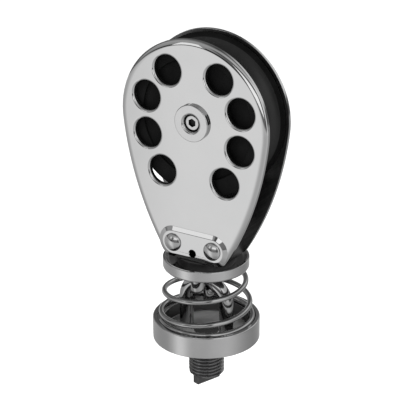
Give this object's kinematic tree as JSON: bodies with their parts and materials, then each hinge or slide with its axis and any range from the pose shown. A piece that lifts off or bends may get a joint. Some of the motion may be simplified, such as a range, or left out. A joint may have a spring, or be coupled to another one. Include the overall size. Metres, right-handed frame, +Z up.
{
  "type": "stand-up block",
  "caption": "Stand-up deck block: grooved sheave between polished teardrop cheeks, held upright on a threaded stud by a conical spring round interlocked bails.",
  "frame": {"origin": "middle of the base ring's underside, on the deck stud's axis, where the base meets the deck", "axes": "+Z up along the deck stud's axis, +Y towards the back cheek along the sheave's axle, +X to the right of the front cheek"},
  "size_m": [0.0904, 0.06, 0.205],
  "materials": {
    "polished_steel": "polished",
    "satin_steel": "satin",
    "spring_steel": "polished",
    "hardened_steel": "satin",
    "black_composite": "satin",
    "white_plastic": "satin"
  },
  "bodies": {
    "base": {"base_ring": "satin_steel", "deck_stud": "satin_steel", "lower_bail": "polished_steel"},
    "spring_link": {"spring": "spring_steel"},
    "head": {"spring_cup": "satin_steel", "foot_block": "satin_steel", "upper_bail": "polished_steel", "front_cheek": "polished_steel", "back_cheek": "polished_steel", "left_rivet": "polished_steel", "right_rivet": "polished_steel", "axle": "hardened_steel", "front_axle_cap": "polished_steel", "back_axle_cap": "polished_steel", "front_axle_screw": "hardened_steel", "back_axle_screw": "hardened_steel", "inner_race": "hardened_steel", "front_thrust_washer": "white_plastic", "back_thrust_washer": "white_plastic"},
    "wheel": {"sheave": "black_composite", "outer_race": "hardened_steel"},
    "cage": {"roller_cage": "black_composite", "bearing_rollers": "hardened_steel"}
  },
  "joints": [
    {"name": "head_nod", "type": "hinge", "parent": "base", "child": "spring_link", "pos_m": [0, 0, 0.0337], "axis": [1, 0, 0], "range_deg": [-25, 25], "stiffness_Nm_per_rad": 8, "deforming": ["spring"]},
    {"name": "head_tilt", "type": "hinge", "parent": "spring_link", "child": "head", "pos_m": [0, 0, 0.0251], "axis": [0, 1, 0], "range_deg": [-25, 25], "stiffness_Nm_per_rad": 8, "deforming": ["spring"]},
    {"name": "sheave_spin", "type": "hinge", "parent": "head", "child": "wheel", "pos_m": [0, 0, 0.1308], "axis": [0, 1, 0], "continuous": true},
    {"name": "cage_spin", "type": "hinge", "parent": "head", "child": "cage", "pos_m": [0, 0, 0.1308], "axis": [0, 1, 0], "continuous": true}
  ],
  "couplings": [
    {"joint": "cage_spin", "follows": "sheave_spin", "ratio": 0.5782}
  ]
}
